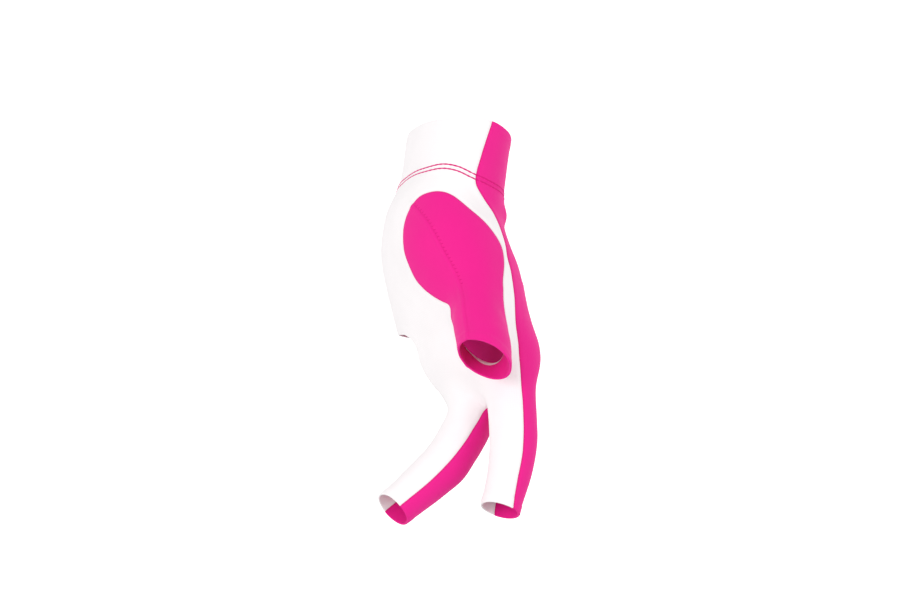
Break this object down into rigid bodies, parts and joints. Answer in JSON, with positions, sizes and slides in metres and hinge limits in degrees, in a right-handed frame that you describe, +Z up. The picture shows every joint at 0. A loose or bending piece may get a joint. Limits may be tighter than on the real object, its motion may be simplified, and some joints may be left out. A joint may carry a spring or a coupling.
{
  "type": "billiard glove",
  "caption": "Snug stretch-cloth glove for the left hand: thumb, index and middle finger in open tubes, ring and little finger bare, wrist band.",
  "frame": {"origin": "middle of the wrist opening", "axes": "+Z up out of the wrist, fingers down and leaning to -Y; +X towards the back of the hand, -X towards the palm, -Y the thumb side"},
  "size_m": [0.071, 0.1203, 0.1795],
  "materials": {
    "magenta_knit": "fine matte stretch knit",
    "white_knit": "fine matte stretch knit"
  },
  "bodies": {
    "root": {"cuff_magenta": "magenta_knit", "cuff_white": "white_knit", "palm_panel": "white_knit", "back_panel": "magenta_knit", "thumb_palmar_panel": "magenta_knit", "thumb_dorsal_panel": "magenta_knit"}
  },
  "joints": []
}
